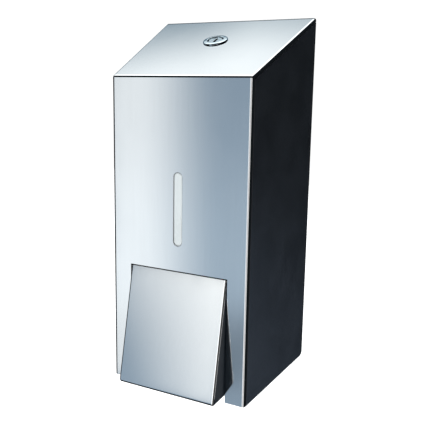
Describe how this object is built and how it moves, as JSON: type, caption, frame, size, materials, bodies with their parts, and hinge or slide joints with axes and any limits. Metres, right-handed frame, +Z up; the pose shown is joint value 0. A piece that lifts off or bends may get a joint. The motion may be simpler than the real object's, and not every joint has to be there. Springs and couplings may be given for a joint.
{
  "type": "wall mounted soap dispenser",
  "caption": "Lockable wall mounted soap dispenser with a polished steel front, dark side panels, a refillable tank and a piston pump worked by a push lever.",
  "frame": {"origin": "on the back plate's wall face, in the middle plane, 130 mm above the cover's lower edge", "axes": "+X to the right seen from the front, +Y into the wall, +Z up"},
  "size_m": [0.1234, 0.1137, 0.2588],
  "materials": {
    "polished_steel": "mirror-polished stainless steel sheet",
    "black_panel": "black moulded plastic, fine satin",
    "dark_plastic": "dark grey moulded plastic, fine grain",
    "plate_steel": "zinc-plated sheet",
    "chromed_zinc": "bright chrome on die-cast zinc",
    "spring_steel": "bright stainless wire and rod",
    "window_lens": "milky translucent plastic",
    "tank_plastic": "natural blow-moulded polyethylene",
    "white_plastic": "white moulded plastic",
    "grey_plastic": "grey moulded plastic",
    "rubber": "black rubber",
    "silicone": "clear silicone"
  },
  "bodies": {
    "wall_unit": {"back_plate": "plate_steel", "pump_backstop": "plate_steel", "lock_catch": "plate_steel", "tank_arm_left": "plate_steel", "tank_arm_right": "plate_steel", "tank": "tank_plastic", "pump_body": "white_plastic", "inlet_valve": "silicone", "outlet_valve": "silicone", "nozzle_cap": "grey_plastic", "neck_seal": "rubber", "coupling_nut": "grey_plastic", "pump_gland": "grey_plastic", "pump_spring": "spring_steel", "arm_rivet_left_1": "plate_steel", "arm_rivet_left_2": "plate_steel", "arm_rivet_right_1": "plate_steel", "arm_rivet_right_2": "plate_steel", "backstop_rivet_left": "plate_steel", "backstop_rivet_right": "plate_steel", "catch_rivet": "plate_steel"},
    "cover": {"front_skin": "polished_steel", "cheek_left": "black_panel", "cheek_right": "black_panel", "level_window": "window_lens", "lock_housing": "chromed_zinc", "lock_nut": "plate_steel", "lever_bracket_left": "plate_steel", "lever_bracket_right": "plate_steel", "lever_pin": "spring_steel", "lever_clip_left": "spring_steel", "lever_clip_right": "spring_steel", "hinge_pin_left": "spring_steel", "hinge_pin_right": "spring_steel", "hinge_clip_left": "spring_steel", "hinge_clip_right": "spring_steel"},
    "lock": {"lock_plug": "chromed_zinc", "lock_cam": "plate_steel", "cam_screw": "spring_steel"},
    "lever": {"lever_plate": "polished_steel", "lever_core": "dark_plastic", "lever_pad": "rubber"},
    "plunger": {"plunger": "white_plastic", "piston_seal": "rubber"},
    "lid": {"tank_lid": "white_plastic"}
  },
  "joints": [
    {"name": "cover_hinge", "type": "hinge", "parent": "wall_unit", "child": "cover", "pos_m": [0, -0.004, -0.1265], "axis": [1, 0, 0], "range_deg": [0, 90]},
    {"name": "lock_turn", "type": "hinge", "parent": "cover", "child": "lock", "pos_m": [0, -0.03987, 0.11114], "axis": [0, -0.4088, 0.9126], "range_deg": [0, 90]},
    {"name": "lever_push", "type": "hinge", "parent": "cover", "child": "lever", "pos_m": [0, -0.0905, -0.049], "axis": [1, 0, 0], "range_deg": [0, 11]},
    {"name": "plunger_slide", "type": "slide", "parent": "wall_unit", "child": "plunger", "axis": [0, 1, 0], "range_m": [0, 0.009], "stiffness_N_per_m": 400, "springref_m": -0.008, "deforming": ["pump_spring"]},
    {"name": "lid_lift", "type": "slide", "parent": "wall_unit", "child": "lid", "axis": [0, 0, 1], "range_m": [0, 0.02]}
  ],
  "couplings": [
    {"joint": "plunger_slide", "follows": "lever_push", "m_per_rad": 0.045}
  ]
}
